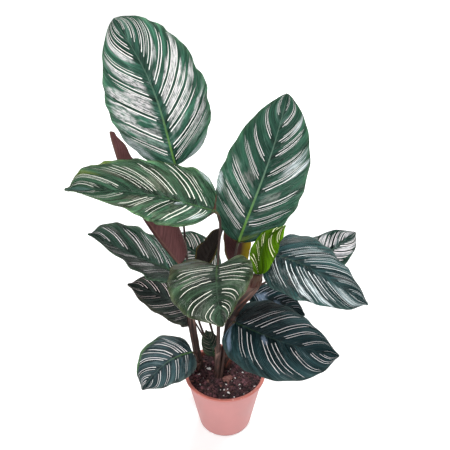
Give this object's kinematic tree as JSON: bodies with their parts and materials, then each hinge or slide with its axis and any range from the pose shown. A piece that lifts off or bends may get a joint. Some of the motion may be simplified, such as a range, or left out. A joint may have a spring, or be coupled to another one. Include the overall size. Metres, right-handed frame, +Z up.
{
  "type": "potted plant",
  "caption": "Pinstripe calathea with upright waved leaves on slender stalks, growing from soil in a small tapered plastic grower's pot",
  "frame": {"origin": "centre of the pot's flat underside", "axes": "+Z is up along the pot's axis, -Y faces the viewer of the picture, +X is the plant's right in the picture"},
  "size_m": [0.3444, 0.2344, 0.5646],
  "materials": {
    "pot_plastic": "satin",
    "soil": "matte",
    "leaf_mature": "satin",
    "leaf_young": "satin",
    "stalk": "satin"
  },
  "bodies": {
    "root": {"pot": "pot_plastic", "soil": "soil", "blade_tall_left": "leaf_mature", "stalk_tall_left": "stalk", "blade_wide_left": "leaf_mature", "stalk_wide_left": "stalk", "blade_tall_right": "leaf_mature", "stalk_tall_right": "stalk", "blade_mid_left": "leaf_mature", "stalk_mid_left": "stalk", "blade_low_left": "leaf_mature", "stalk_low_left": "stalk", "blade_bottom_left": "leaf_mature", "stalk_bottom_left": "stalk", "blade_front": "leaf_mature", "stalk_front": "stalk", "blade_folded_left": "leaf_mature", "stalk_folded_left": "stalk", "blade_young": "leaf_young", "stalk_young": "stalk", "blade_upper_right": "leaf_mature", "stalk_upper_right": "stalk", "blade_far_right": "leaf_mature", "stalk_far_right": "stalk", "blade_under_right": "leaf_mature", "stalk_under_right": "stalk", "blade_lower_right": "leaf_mature", "stalk_lower_right": "stalk", "blade_small_low": "leaf_mature", "stalk_small_low": "stalk", "blade_behind_left": "leaf_mature", "stalk_behind_left": "stalk", "blade_behind_right": "leaf_mature", "stalk_behind_right": "stalk", "blade_dark_centre": "leaf_mature", "stalk_dark_centre": "stalk"}
  },
  "joints": []
}
